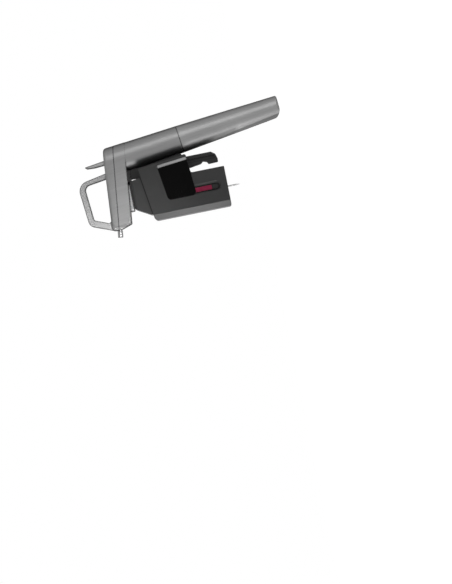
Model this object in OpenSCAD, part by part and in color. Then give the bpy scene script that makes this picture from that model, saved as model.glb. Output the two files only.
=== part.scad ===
// Needle dispenser for still wine. A clamp base sits on the bottle neck, and a
// head with the needle, the gas handle, the trigger and the spout slides on it.
// +Z runs up the needle, +X forward to the spout, and the origin is the middle
// of the seat that the bottle's rim meets. The head is drawn fully down.

/* [Bottle neck] */
// Outside diameter of the neck that the clamp grips
neck_d = 28.7; // [28:0.1:29.4]
// Room between the neck and the skirt, on the radius
neck_clear = 1.3; // [1:0.1:1.6]

/* [Clamp base] */
// Wall of the base outside the jaws' room
base_wall = 1.95; // [1.5:0.05:4]
// Distance from the needle to the front face
base_front = 21.6; // [21:0.1:24]
// Distance from the needle to the rear edge, at the height of the rim
base_back = 41.7; // [41:0.1:44]
// Lean of the rear edge
base_back_lean = 6; // [5:0.1:6.5]
// Height of the top face over the needle axis
base_top = 44.9; // [43:0.1:47]
// Fall of the top face towards the front
base_top_fall = 8; // [6:0.1:9]
// Depth of the rear block's lower edge under the rim, at the needle
block_low = 7.3; // [6.5:0.1:9]
// Fall of the rear block's lower edge towards the front
block_fall = 5; // [3:0.1:7]
// Distance from the needle to the back of the skirt
skirt_back = 21.3; // [20:0.1:24]
// Depth of the skirt under the rim
skirt_low = 41.6; // [40:0.1:48]
// Length of the bevel on the front edges, towards the back
bevel_x = 6; // [3:0.1:7]
// Width of the bevel on the front edges
bevel_y = 8; // [4:0.1:9]
// Rounding of the base's corners in side view
base_round = 4; // [2:0.1:5]
// Chamfer on the base's rear edges
rear_chamfer = 2; // [1:0.1:2.6]
// Thickness of the rubber ring that the rim presses on
bumper_t = 2.4; // [2:0.1:4]

/* [Slots in the skirt] */
// Width of each slot
slot_w = 7.5; // [6.5:0.1:8]
// Height of the slot's upper end, under the rim
slot_top = 3; // [2:0.1:4]
// Depth of the slot's lower end under the rim
slot_low = 33; // [32:0.1:35]
// Distance of the slot's middle behind the needle
slot_back = 1.75; // [0:0.05:2]
// Bevel round the slot
slot_bevel = 1.4; // [0.6:0.1:1.6]

/* [Clamp jaws] */
// Width of a jaw
jaw_w = 13; // [12:0.1:13.4]
// Thickness of a jaw
jaw_t = 2.7; // [2.4:0.1:2.9]
// Thickness of the pad at its thinnest
pad_t = 1.5; // [1.2:0.1:1.7]
// Depth of the jaw's tip under the rim
jaw_low = 36.5; // [36:0.1:38]
// Diameter of the jaw's pin
jaw_pin_d = 2.5; // [2:0.1:2.8]
// Height of the pin over the rim
jaw_pin_z = 5.6; // [5.5:0.1:7]
// Width of the coloured inlay in the slot
inlay_w = 4.7; // [4:0.1:5]
// Depth of the inlay's lower end under the rim
inlay_low = 24.5; // [20:0.1:26]
// Height of the inlay over the jaw's back
inlay_h = 2.3; // [1.8:0.1:2.6]
// Wire of the jaw springs
jaw_wire = 0.5; // [0.4:0.05:0.6]

/* [Label and trim] */
// Thickness of the glossy side panels
label_t = 1.1; // [0.9:0.1:1.5]
// How far the panels stand out of the base
label_proud = 0.35; // [0.1:0.05:0.6]
// Distance from the needle to the panel's front edge
label_front = 3.1; // [0:0.1:4]
// Height of the panel's upper edge over the needle axis
label_top = 24; // [20:0.1:26]
// Distance from the base's rear edge to the panel
label_inset = 6.4; // [5:0.1:8]
// Width of the brushed strip behind the panel
trim_w = 3.6; // [2:0.1:4]
// Rounding of the panel's front corners
label_round = 4.2; // [2:0.1:5]

/* [Collar] */
// Height of the collar's top over the rim
collar_top = 61; // [60:0.1:61.2]
// Width of the collar
collar_w = 36; // [30:0.5:38]
// Distance from the needle to the front of the collar's top
collar_nose = 5.2; // [4:0.1:8]
// Distance from the needle to the front of the collar's foot
collar_foot = 14.3; // [12:0.1:15]
// Distance from the needle to the back of the collar's foot
collar_back = 26.9; // [25:0.1:27.1]
// Chamfer on the collar's long edges
collar_chamfer = 3; // [1:0.1:4]

/* [Rail] */
// Distance from the needle to the front of the rail
rail_front = 27.5; // [27.4:0.1:28]
// Distance from the needle to the back of the rail's lower end
rail_back = 40; // [39.6:0.1:41]
// Distance from the needle to the back of the rail beside the handle
rail_back_top = 38.2; // [37.6:0.1:38.6]
// Width of the rail
rail_w = 12; // [10:0.1:13]
// Depth of the rail's end under the rim
rail_low = 36.7; // [35:0.1:40]
// Depth of the notch in the hooked end
notch_d = 4; // [2:0.1:4.2]
// Width of the groove in each side of the rail
groove_w = 3.6; // [3:0.1:3.8]
// Depth of the groove in each side of the rail
groove_d = 2.4; // [2:0.1:3]
// Travel of the head on the rail
head_travel = 62; // [55:1:62]
// Length of the rail's guides in the base
guide_len = 15; // [10:0.5:16]
// Width of the flange that carries the rail
flange_w = 27; // [25:0.5:29]
// Thickness of the flange
flange_t = 3.6; // [3:0.1:4]

/* [Head] */
// Height of the head's underside over the needle axis
under_z = 65.7; // [65.3:0.1:67]
// Rise of the underside towards the front
under_rise = 5.9; // [5.5:0.1:6.3]
// Height of the seam under the cap, over the needle axis
seam_z = 79.4; // [78.5:0.1:80]
// Rise of the seam towards the front
seam_rise = 7; // [6.7:0.1:7.3]
// Height of the cap's top over the needle axis
top_z = 88; // [87.6:0.1:89]
// Rise of the cap's top towards the front
top_rise = 4.4; // [4:0.1:4.8]
// Distance from the needle to the front end
head_front = 24.1; // [23:0.1:26]
// How far the head's sides flare out from the handle's at the joint
head_flare = 1.35; // [0.6:0.05:2]
// Width of the head at the spout
nose_w = 23; // [22:0.1:25]
// Rounding of the cap's upper edges
cap_round = 3; // [2:0.1:3.4]
// Rounding of the nose's two corners, seen from above
nose_round = 6; // [4:0.1:8]
// Length of the bevel under the front end
chin_x = 4.6; // [2:0.1:6]

/* [Handle] */
// Lean of the handle away from the needle
handle_lean = 7.3; // [7:0.1:7.6]
// Distance from the needle to the handle's axis where the cup joins
handle_x = 59.9; // [59.6:0.1:61]
// Depth of that joint under the rim
joint_low = 0.7; // [0:0.1:3]
// Wall of the handle round the threaded ring
handle_wall = 1.45; // [1.3:0.05:2.2]
// Length of the cup
cup_len = 112; // [106:1:120]
// How much narrower the cup's end is than the handle at the joint
cup_taper = 6.5; // [5:0.1:7]
// Rounding of the cup's end towards the bottle
cup_round = 11; // [8:0.1:11.5]
// Rounding of the cup's end at the rear
cup_rear_round = 4; // [2:0.1:6]
// Depth of the flats along the cup's lower edge
flat_d = 1.2; // [0.5:0.1:1.6]
// Lean of those flats to the handle's axis
flat_lean = 2.5; // [2.3:0.1:3]
// Length of the cup's threaded spigot
spigot_len = 9; // [7:0.5:9.5]
// Wall of the spigot
spigot_t = 1.7; // [1.4:0.1:2]
// Depth of the spigot's root in the cup
spigot_root = 8; // [5:0.5:12]
// Thickness of the threaded ring in the handle
ring_t = 1.2; // [0.9:0.1:1.3]

/* [Gas capsule and regulator] */
// Diameter of the capsule
capsule_d = 20; // [19:0.1:20.6]
// Length of the capsule's body, with both round ends
capsule_len = 84; // [70:1:88]
// Diameter of the capsule's neck
capsule_neck_d = 8.6; // [7.5:0.1:9.4]
// Length of the capsule's neck
capsule_neck_len = 8; // [6:0.1:8.5]
// Wall of the handle round the regulator
reg_wall = 2.91; // [2.4:0.01:3.4]
// Length of the regulator
reg_len = 38; // [36:0.5:40]
// Diameter of the regulator's piston
piston_d = 14; // [12:0.1:15]
// Length of the piston
piston_len = 6; // [5:0.1:8]
// Travel of the piston
piston_travel = 0.8; // [0.4:0.1:0.8]
// Diameter of the piercing pin
pierce_d = 2.4; // [2:0.1:2.6]
// Wire of the regulator's spring
reg_wire = 1.6; // [1.2:0.1:1.8]

/* [Trigger] */
// Width of the trigger's bar
trigger_w = 11; // [9:0.1:12]
// Distance from the needle to the trigger's pin
pivot_x = 18; // [17:0.1:18.4]
// Height of the trigger's pin over the rim
pivot_z = 87; // [86.8:0.1:87.2]
// Diameter of the trigger's pin
pivot_d = 3; // [2.4:0.1:3]
// Height of the loop's rear corner
loop_rear_z = 117.2; // [110:0.1:122]
// Distance of the loop's rear corner behind the needle
loop_rear_x = 32.9; // [32:0.1:34]
// Height of the loop's front corner
loop_front_z = 112.9; // [108:0.1:118]
// Distance from the needle to the loop's front corner
loop_front_x = 13.5; // [12:0.1:15]
// Thickness of the loop's bar
bar_t = 6.3; // [5.4:0.1:6.8]
// Distance of the rear arm behind the needle, at the cap
arm_back = 39.2; // [38.8:0.1:39.6]
// Height of the rear arm's foot over the rim
foot_z = 81; // [80.8:0.1:81.4]
// Angle that the trigger swings when it is pressed
trigger_swing = 3; // [2:0.1:3.2]

/* [Valve] */
// Distance of the valve behind the needle
valve_x = 36; // [35.6:0.1:36.4]
// Outside diameter of the valve's sleeve
valve_d = 12; // [11:0.1:12.2]
// Bore of the sleeve
valve_bore = 7.4; // [7:0.1:8]
// Diameter of the valve's rod
rod_d = 4; // [3:0.1:4.4]
// Thickness of the valve's disc
disc_t = 2; // [1.5:0.1:2.2]
// Height of the valve's pocket floor over the rim
valve_floor = 64.5; // [64.2:0.1:65]
// Height of the sleeve's top over the rim
sleeve_top = 77.6; // [77.2:0.1:77.8]
// Wire of the valve's spring
valve_wire = 0.6; // [0.5:0.05:0.7]

/* [Needle and spout] */
// Outside diameter of the needle
needle_d = 1.65; // [1.4:0.05:1.8]
// Bore of the needle
needle_bore = 1.1; // [0.8:0.05:1.2]
// Depth of the needle's point under the rim
needle_low = 55; // [45:0.5:55.5]
// Length of the needle's conical point
point_len = 4; // [3:0.1:6]
// Diameter of the needle's hub
hub_d = 10; // [9:0.1:11]
// Length of the hub inside the head
hub_len = 9; // [8:0.1:9.5]
// Outside diameter of the spout
spout_d = 5.6; // [5:0.1:5.8]
// Bore of the spout
spout_bore = 3.8; // [3:0.1:4.2]
// Length of the spout outside the head
spout_out = 7.6; // [6:0.1:12]
// Diameter of the spout's root in the head
spout_root_d = 5; // [4.6:0.1:5.2]
// Width of the plate under the head
plate_w = 19; // [16:0.5:22]
// Distance from the needle to the plate's front edge
plate_front = 7; // [6.6:0.1:8]
// Distance of the plate's rear edge behind the needle
plate_back = 25; // [22:0.1:25.2]
// Height of the plate's lower face over the rim
plate_low = 61.6; // [61.5:0.1:62]

/* [Thumb rest] */
// Width of the thumb rest
rest_w = 10; // [6:0.1:14]
// Height of the thumb rest over the cap
rest_h = 22; // [15:0.1:24]
// Thickness of the thumb rest at its foot
rest_t = 4.7; // [3:0.1:5]
// Distance of the thumb rest's foot behind the needle
rest_x = 50.5; // [50:0.1:53]

/* [Hidden] */
$fn = 72;

// Clearances: a fixed seat, a running fit, and free room round a moving piece
seat = 0.04;
fit = 0.06;
free = 0.4;
// Reach of a cut past the face that it leaves
past = 1;
// Length of a cut that clears the whole part
far = 300;
// Steps in a rounded corner
arc_steps = 8;
// Small screws: thread and head
screw_d = 3;
screw_head_d = 5.6;
screw_head_t = 2;
// Bores of the gas and wine ways
way_d = 2.4;
bore_d = 2;
// Gap between a thread and its ring, on the radius
thread_gap = 0.16;
// Thickness of the rings that seal
ring_wire = 1.4;

dark = [0.27, 0.28, 0.29];
gunmetal = [0.55, 0.56, 0.57];
steel = [0.76, 0.77, 0.78];
black = [0.05, 0.05, 0.06];
maroon = [0.55, 0.16, 0.29];
brass = [0.78, 0.62, 0.34];
rubber = [0.12, 0.12, 0.13];

function rise(z, slope, x) = z + x * tan(slope);
function base_top_at(x) = rise(base_top, -base_top_fall, x);
function base_low_at(x) = rise(-block_low, -block_fall, x);

// Corner [x, z, r] where an edge parallel to the base's rear edge, inset from
// it, meets the line that falls forward through z0 over the needle
function edge_x(inset, z0, fall) =
    (z0 * tan(base_back_lean) - base_back + inset) / (1 + tan(base_back_lean) * tan(fall));
function corner_at(inset, z0, fall, r) =
    let (x = edge_x(inset, z0, fall))
    [x, rise(z0, -fall, x), r];
function under_at(x) = rise(under_z, under_rise, x);
function seam_at(x) = rise(seam_z, seam_rise, x);
function top_at(x) = rise(top_z, top_rise, x);

neck_r = neck_d / 2;
pocket_r = neck_r + neck_clear;
pad_face = neck_r + fit;
jaw_in = neck_r + pad_t;
jaw_out = jaw_in + jaw_t;
jaw_pin_y = jaw_in + jaw_t / 2;
jaw_eye_r = jaw_pin_d / 2 + 1.7;
wall_in = jaw_out + 2;
base_w = 2 * (wall_in + base_wall);
slot_mid = -slot_back;
label_edge = 0.3;
coil_r = jaw_pin_d / 2 + fit + jaw_wire;
pad_depth = 4.2;
spring_room = 3.2;
leg_len = 5;
leg_room = 0.7;
handle_up = 76;
head_depth = 32;
// How far the head stands proud of the handle
head_over = 0.15;
spigot_bore = capsule_d / 2 + free;
spigot_r = spigot_bore + spigot_t;
ring_r = spigot_r + thread_gap;
ring_out = ring_r + ring_t;
handle_d = 2 * (ring_out + seat + handle_wall);
head_w = handle_d + 2 * head_flare;
reg_d = handle_d - 2 * (reg_wall + seat);
cup_end_d = handle_d - cup_taper;
cone_slope = head_flare / handle_up;
cup_slope = cup_taper / 2 / cup_len;
reg_w = spigot_len + 4;
capsule_top = spigot_len + 1.5;
capsule_low = capsule_top - capsule_neck_len - capsule_len;
groove_x = -(rail_front + rail_back_top) / 2 - 1.6;
// How far the rail's flange stands in front of it
flange_lip = 2.4;
// Rear rib of the rail: its ends, and how deep it is let into the handle
rib_top = 46;
rib_low = 1.5;
rib_deep = 0.4;
guide_top = 44;
guide_low = guide_top - guide_len;
guide_out = rail_w / 2 + free + 3;
spout_drop = 0.6;
// Gap between the head and the spout's free end
spout_lip = 0.6;

// An outline whose corners [x, y, r] are rounded by arcs
function unit(v) = v / norm(v);
function flat(p) = [p[0], p[1]];
function corner(a, b, c) =
    let (
        u = unit(flat(a) - flat(b)),
        v = unit(flat(c) - flat(b)),
        half = acos(u * v) / 2,
        r = b[2],
        mid = flat(b) + unit(u + v) * r / sin(half),
        from = flat(b) + u * r / tan(half) - mid,
        start = atan2(from[1], from[0]),
        turn = (cross(u, v) > 0 ? -1 : 1) * (180 - 2 * half)
    )
    r == 0
        ? [flat(b)]
        : [for (i = [0:arc_steps]) let (a = start + turn * i / arc_steps) mid + r * [cos(a), sin(a)]];
function rounded(c) = [
    for (i = [0:len(c) - 1])
        each corner(c[(i + len(c) - 1) % len(c)], c[i], c[(i + 1) % len(c)])
];

// A side-view outline drawn in x and z, made as wide as w
module side(w, y = 0) {
    translate([0, y, 0])
        rotate([90, 0, 0])
            linear_extrude(w, center = true)
                children();
}

// A cylinder along Y
module across(r, w) {
    rotate([90, 0, 0])
        cylinder(r = r, h = w, center = true);
}

// The handle's own frame: its origin at the cup's joint, +Z up the handle
module on_handle() {
    translate([-handle_x, 0, -joint_low])
        rotate([0, handle_lean, 0])
            children();
}

// The spout's frame: +X along the tube, the origin over the needle
module on_spout() {
    translate([0, 0, seam_z - spout_drop])
        rotate([0, -seam_rise, 0])
            children();
}

// A helical wire spring round Z as one unbroken tube, with straight legs that
// leave it along its tangents where leg isn't 0
function wire_ring(r, wire, pitch, a, sides, out) = [
    for (k = [0:sides - 1])
        let (b = 360 * k / sides, q = r + wire / 2 * cos(b))
        [q * cos(a) - out * sin(a), q * sin(a) + out * cos(a), pitch * a / 360 + wire / 2 * sin(b)]
];
module coil(r, wire, length, turns, leg = 0) {
    per_turn = 8;
    sides = 6;
    pitch = (length - wire) / turns;
    last = 360 * turns;
    rings = [
        if (leg > 0) wire_ring(r, wire, pitch, 0, sides, -leg),
        for (i = [0:turns * per_turn]) wire_ring(r, wire, pitch, 360 * i / per_turn, sides, 0),
        if (leg > 0) wire_ring(r, wire, pitch, last, sides, leg)
    ];
    top = (len(rings) - 1) * sides;
    caps = [
        [for (k = [0:sides - 1]) k],
        [for (k = [0:sides - 1]) top + sides - 1 - k]
    ];
    walls = [
        for (i = [0:len(rings) - 2], k = [0:sides - 1], half = [0, 1])
            let (
                a = i * sides + k,
                b = i * sides + (k + 1) % sides
            )
            half == 0 ? [a, a + sides, b + sides] : [a, b + sides, b]
    ];
    echo("least gap of a coil to itself", pitch - wire);
    translate([0, 0, wire / 2])
        polyhedron([for (ring = rings) each ring], concat(caps, walls), convexity = 10);
}

// A sealing ring round Z
module seal_ring(inner_r, wire) {
    rotate_extrude()
        translate([inner_r + wire / 2, 0])
            circle(d = wire, $fn = 24);
}

// A small screw whose head's seat is at the origin and whose thread runs up
module screw(length) {
    cylinder(d = screw_d, h = length);
    translate([0, 0, -screw_head_t])
        difference() {
            cylinder(d = screw_head_d, h = screw_head_t);
            translate([0, 0, -past])
                cylinder(r = 1.3, h = past + 1.1, $fn = 6);
        }
}

// Hole for that screw: its thread, its head and the way in to the head
module screw_hole(length, way) {
    cylinder(d = screw_d + 2 * seat, h = length + free);
    translate([0, 0, -screw_head_t - way])
        cylinder(d = screw_head_d + 2 * seat, h = screw_head_t + way);
}

// ---- clamp base ----

base_side = [
    corner_at(0, base_top, base_top_fall, 1.5),
    [base_front, base_top_at(base_front), base_round],
    [base_front, -skirt_low, base_round / 2],
    [-skirt_back, -skirt_low, 0.8],
    [-skirt_back, base_low_at(-skirt_back), 2],
    corner_at(0, -block_low, block_fall, 2)
];

// Plan of the base, with bevelled front edges
module base_plan() {
    half = base_w / 2;
    polygon(rounded([
        [-base_back - rear_chamfer, -half, 0],
        [base_front - bevel_x, -half, 0.8],
        [base_front, bevel_y - half, 0.8],
        [base_front, half - bevel_y, 0.8],
        [base_front - bevel_x, half, 0.8],
        [-base_back - rear_chamfer, half, 0]
    ]));
}

module stadium(w, mid, top, low) {
    for (z = [top - w / 2, low + w / 2])
        translate([mid, z])
            circle(d = w, $fn = 32);
    translate([mid - w / 2, low + w / 2])
        square([w, top - low - w]);
}

module slot_cut(dir) {
    half = base_w / 2;
    side(half - wall_in + 4, dir * (half + wall_in) / 2)
        stadium(slot_w, slot_mid, -slot_top, -slot_low);
    // bevel, wider at the rear
    hull() {
        side(0.1, dir * (half - slot_bevel))
            stadium(slot_w, slot_mid, -slot_top, -slot_low);
        side(0.1, dir * (half + 0.06))
            stadium(slot_w + 1.8 * slot_bevel, slot_mid - 0.7 * slot_bevel,
                -slot_top + slot_bevel, -slot_low - slot_bevel);
    }
}

label_side = [
    corner_at(label_inset, label_top, base_top_fall, 0.4),
    [label_front, rise(label_top, -base_top_fall, label_front), label_round],
    [label_front, rise(label_edge - block_low, -block_fall, label_front), label_round],
    corner_at(label_inset, label_edge - block_low, block_fall, 0.4)
];
trim_side = [
    corner_at(label_inset - trim_w, label_top, base_top_fall, 0.4),
    corner_at(label_inset, label_top, base_top_fall, 0),
    corner_at(label_inset, label_edge - block_low, block_fall, 0),
    corner_at(label_inset - trim_w, label_edge - block_low, block_fall, 0.4)
];

module rail_channel() {
    w = rail_w + 2 * free;
    translate([-far - rail_front + free, -w / 2, -far / 2])
        cube([far, w, far]);
    translate([groove_x, 0, (guide_low + guide_top) / 2])
        cube([groove_w - 2 * fit + 2 * seat, 2 * guide_out + 2 * seat, guide_len + 2 * seat], center = true);
}

// Room for a jaw, its pad, its eye and its spring's upper leg
module jaw_pocket() {
    room = jaw_w + 2 * free;
    pad_back = jaw_in - pad_depth - free;
    eye_back = pocket_r - 1;
    translate([-room / 2, pad_back, -skirt_low - past])
        cube([room, wall_in - pad_back, skirt_low + past - 0.6]);
    translate([-room / 2, eye_back, -past])
        cube([room, wall_in - eye_back, jaw_pin_z + past]);
    translate([0, jaw_pin_y, jaw_pin_z])
        rotate([0, 90, 0])
            cylinder(r = jaw_eye_r + free, h = room, center = true);
    translate([-spring_room / 2, jaw_pin_y + coil_r - leg_room, jaw_pin_z])
        cube([spring_room, 2 * leg_room, leg_len + 0.6]);
}

module base_shell() {
    color(dark)
        difference() {
            intersection() {
                side(base_w)
                    polygon(rounded(base_side));
                translate([0, 0, -far / 2])
                    linear_extrude(far)
                        base_plan();
            }
            // neck pocket and the rubber ring's seat
            translate([0, 0, -skirt_low - past])
                cylinder(r = pocket_r, h = skirt_low + past);
            translate([0, 0, -past])
                cylinder(r = pocket_r - 2, h = bumper_t + past);
            // mouth of the pocket
            translate([0, 0, -skirt_low - 0.01])
                cylinder(r1 = pocket_r + 1.5, r2 = pocket_r, h = 2);
            rail_channel();
            for (dir = [-1, 1]) {
                to_side(dir)
                    jaw_pocket();
                slot_cut(dir);
                translate([0, dir * jaw_pin_y, jaw_pin_z])
                    rotate([0, 90, 0])
                        cylinder(d = jaw_pin_d + 2 * seat, h = jaw_w + 8 + 2 * seat, center = true);
                // recess for the panel and the strip
                side(2 * (label_t - label_proud) + 2 * seat, dir * base_w / 2)
                    polygon(rounded([trim_side[0], label_side[1], label_side[2], trim_side[3]]));
            }
            // way of the needle and its guide's pocket
            cylinder(d = needle_d + 2, h = far);
            for (dir = [-1, 1])
                collar_screw_place(dir)
                    screw_hole(18, 1);
        }
}

module collar_screw_place(dir) {
    translate([-17, dir * 9, collar_top - 3])
        rotate([180, 0, 0])
            children();
}

collar_side = [
    [-collar_back, base_top_at(-collar_back), 0],
    [-rail_front + flange_lip + free, collar_top, 0.6],
    [collar_nose, collar_top, 2.5],
    [collar_foot, base_top_at(collar_foot) + 2, 1],
    [collar_foot, base_top_at(collar_foot), 0]
];

module base_collar() {
    half = collar_w / 2;
    color(dark)
        difference() {
            intersection() {
                side(collar_w)
                    polygon(rounded(collar_side));
                rotate([90, 0, 90])
                    linear_extrude(far, center = true)
                        polygon(rounded([
                            [-half, 0, 0],
                            [half, 0, 0],
                            [half, collar_top - collar_chamfer, 1],
                            [half - collar_chamfer, collar_top, 1],
                            [collar_chamfer - half, collar_top, 1],
                            [-half, collar_top - collar_chamfer, 1]
                        ]));
            }
            translate([0, 0, collar_top - guide_depth])
                cylinder(d = guide_d + 2 * seat, h = far);
            cylinder(d = needle_d + 2, h = far);
            for (dir = [-1, 1])
                collar_screw_place(dir)
                    screw_hole(18, 6);
        }
}

module collar_screws() {
    color(steel)
        for (dir = [-1, 1])
            collar_screw_place(dir)
                screw(17);
}

module label(dir) {
    color(black)
        side(label_t, dir * (base_w / 2 + label_proud - label_t / 2))
            polygon(rounded(label_side));
}
module trim(dir) {
    color(steel)
        side(label_t, dir * (base_w / 2 + label_proud - label_t / 2))
            polygon(rounded(trim_side));
}

module rail_guides() {
    inner = rail_w / 2 - groove_d + fit;
    color(rubber)
        for (dir = [-1, 1])
            translate([groove_x, dir * (inner + guide_out) / 2, (guide_low + guide_top) / 2])
                cube([groove_w - 2 * fit, guide_out - inner, guide_len], center = true);
}

guide_d = 9;
guide_depth = 10;
module needle_guide() {
    color(rubber)
        difference() {
            translate([0, 0, collar_top - guide_depth])
                cylinder(d = guide_d, h = guide_depth - 0.4);
            cylinder(d = needle_d + 2 * fit, h = far);
            translate([0, 0, collar_top - 3])
                cylinder(d1 = needle_d + 2 * fit, d2 = 6, h = 3);
        }
}

module rim_bumper() {
    color(rubber)
        difference() {
            cylinder(r = pocket_r - 2 - seat, h = bumper_t);
            translate([0, 0, -past])
                cylinder(d = needle_d + 3, h = far);
            translate([0, 0, -0.01])
                cylinder(r1 = 6, r2 = needle_d / 2 + 1.5, h = bumper_t);
        }
}

// ---- clamp jaws ----

module jaw_pins() {
    color(steel)
        for (dir = [-1, 1])
            translate([0, dir * jaw_pin_y, jaw_pin_z])
                rotate([0, 90, 0])
                    cylinder(d = jaw_pin_d, h = jaw_w + 8, center = true);
}

// A jaw is drawn for the left side and mirrored for the right
module to_side(dir) {
    if (dir > 0)
        children();
    else
        mirror([0, 1, 0])
            children();
}

module jaw(dir) {
    color(dark)
        to_side(dir)
            difference() {
                union() {
                    translate([-jaw_w / 2, jaw_in, -jaw_low])
                        cube([jaw_w, jaw_t, jaw_low + jaw_pin_z]);
                    translate([0, jaw_pin_y, jaw_pin_z])
                        rotate([0, 90, 0])
                            cylinder(r = jaw_eye_r, h = jaw_w, center = true);
                    // dark rib under the inlay, with a round end
                    translate([slot_mid, jaw_out - seat, -slot_low + slot_w / 2])
                        rotate([-90, 0, 0])
                            cylinder(d = inlay_w, h = inlay_h);
                    translate([slot_mid - inlay_w / 2, jaw_out - seat, -slot_low + slot_w / 2])
                        cube([inlay_w, inlay_h, slot_low - slot_w / 2 - inlay_low - seat]);
                }
                translate([0, jaw_pin_y, jaw_pin_z])
                    rotate([0, 90, 0])
                        cylinder(d = jaw_pin_d + 2 * fit, h = far, center = true);
                // room for the spring in the middle of the eye
                translate([-spring_room / 2, jaw_in - 5, jaw_pin_z - jaw_eye_r - 1.2])
                    cube([spring_room, far, far]);
                // bevelled tip, to lead the rim in
                translate([0, jaw_in, -jaw_low])
                    rotate([45, 0, 0])
                        cube([far, 1.6, 1.6], center = true);
            }
}

module jaw_inlay(dir) {
    color(maroon)
        to_side(dir)
            translate([slot_mid - inlay_w / 2, jaw_out, -inlay_low])
                cube([inlay_w, inlay_h, inlay_low - slot_top - 1.5]);
}

// Grooves across a pad's face
pad_grooves = 5;
module jaw_pad(dir) {
    low = -jaw_low + 3;
    tall = jaw_low - 7;
    color(rubber)
        to_side(dir)
            difference() {
                translate([-jaw_w / 2, jaw_in - pad_depth, low])
                    cube([jaw_w, pad_depth, tall]);
                translate([0, 0, -jaw_low])
                    cylinder(r = pad_face, h = jaw_low);
                for (i = [1:pad_grooves])
                    translate([0, 0, low + tall * i / (pad_grooves + 1)])
                        rotate_extrude()
                            translate([pad_face, 0])
                                circle(r = 0.6, $fn = 4);
            }
}

// Turns of a jaw spring along its pin
jaw_turns = 3;
module jaw_spring(dir) {
    color(steel)
        to_side(dir)
            translate([-spring_room / 2 + 0.2, jaw_pin_y, jaw_pin_z])
                rotate([0, 90, 0])
                    rotate([0, 0, 90])
                        coil(coil_r, jaw_wire, spring_room - 0.4, jaw_turns, leg_len);
}

// ---- head ----

// The handle's axis and radius at a height over the rim
function axis_x(z) = -handle_x + (z + joint_low) * tan(handle_lean);
function cone_r(z) = handle_d / 2 + cone_slope * (z + joint_low) / cos(handle_lean);

// Plan of the head at a depth under its top, in the frame of the top: its rear
// goes round the handle, and its nose has rounded corners
function head_axis(down) =
    (axis_x(top_z - down * cos(top_rise)) - down * sin(top_rise))
    / (cos(top_rise) - tan(handle_lean) * sin(top_rise));
function head_plan(inset, down) =
    let (
        mid = head_axis(down),
        r = cone_r(top_z + mid * sin(top_rise) - down * cos(top_rise)) + head_over - inset,
        deep = top_at(head_front) - seam_at(head_front),
        k = nose_round - inset,
        nose = head_front / cos(top_rise) - deep * sin(top_rise) - inset - k,
        half = nose_w / 2 - inset - k
    )
    [
        for (a = [90:7.5:270]) [mid + r * cos(a) / cos(handle_lean + top_rise), r * sin(a)],
        for (a = [-90:15:0]) [nose, -half] + k * [cos(a), sin(a)],
        for (a = [0:15:90]) [nose, half] + k * [cos(a), sin(a)]
    ];

// The outer form of the head, lofted through its plans from deep under the
// seam up to the rounded top
module head_form() {
    levels = [
        [0, head_depth],
        for (a = [0:30:90]) [cap_round * (1 - cos(a)), cap_round * (1 - sin(a))]
    ];
    rings = [for (v = levels) [for (p = head_plan(v[0], v[1])) [p[0], p[1], -v[1]]]];
    n = len(rings[0]);
    last = (len(rings) - 1) * n;
    walls = [
        for (i = [0:len(rings) - 2], k = [0:n - 1], half = [0, 1])
            let (
                a = i * n + k,
                b = i * n + (k + 1) % n
            )
            half == 0 ? [a, a + n, b + n] : [a, b + n, b]
    ];
    translate([0, 0, top_z])
        rotate([0, -top_rise, 0])
            polyhedron(
                [for (ring = rings) each ring],
                concat([[for (k = [0:n - 1]) k], [for (k = [1:n]) last + n - k]], walls)
            );
}

// Everything on one side of the seam: under it, or over it
module seam_side(up) {
    translate([0, 0, seam_z])
        rotate([0, -seam_rise, 0])
            translate([-far / 2, -far / 2, up ? 0 : -far])
                cube(far);
}

module handle_cone(high) {
    on_handle()
        cylinder(r1 = handle_d / 2, r2 = handle_d / 2 + cone_slope * high, h = high);
}

front_side = [
    [-far / 4, under_at(-far / 4), 0],
    [head_front - chin_x, under_at(head_front - chin_x), 2],
    [head_front - 0.6, seam_at(head_front) - 3, 1],
    [head_front, seam_at(head_front), 0],
    [head_front + 9, far / 2, 0],
    [-far / 4, far / 2, 0]
];

// Front of the handle at a height over the rim
function handle_front(z) = axis_x(z) + cone_r(z) / cos(handle_lean);

rail_side = [
    [-rail_back, -rail_low + 6, 0],
    [-rail_back + 3.2, -rail_low + 1.6, 2.5],
    [-rail_back + 8.5, -rail_low, 1.5],
    [-rail_front - 0.5, -rail_low, 1.2],
    [-rail_front - 0.2, -rail_low + 10.8, 0.8],
    [-rail_front - notch_d * 0.65, -rail_low + 12, 0.8],
    [-rail_front - notch_d, -rail_low + 16.1, 1.2],
    [-rail_front - 1.8, -rail_low + 18.8, 1],
    [-rail_front, -rail_low + 31, 0],
    [-rail_front, under_at(-rail_front) - flange_t / 2, 0],
    [-rail_back_top, under_at(-rail_front) - flange_t / 2, 0],
    [-rail_back_top, rib_top, 0],
    [handle_front(rib_low) - rib_deep, rib_low, 0],
    [-rail_back, rib_low - 2, 0]
];

flange_side = [
    [-rail_front + flange_lip, under_at(-rail_front + flange_lip) - seat],
    [-rail_front + flange_lip, under_at(-rail_front) - flange_t],
    [-rail_back_top + 1.2, under_at(-rail_front) - flange_t],
    [-rail_back_top + 1.2, under_at(-rail_back_top + 1.2) - seat]
];

module rail_form(extra) {
    side(rail_w + 2 * extra)
        polygon(rounded(rail_side));
}

module rail_screw_place(dir) {
    translate([-rail_front - 4, dir * (flange_w / 2 - 4), under_at(-rail_front) - flange_t + screw_head_t])
        children();
}

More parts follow.
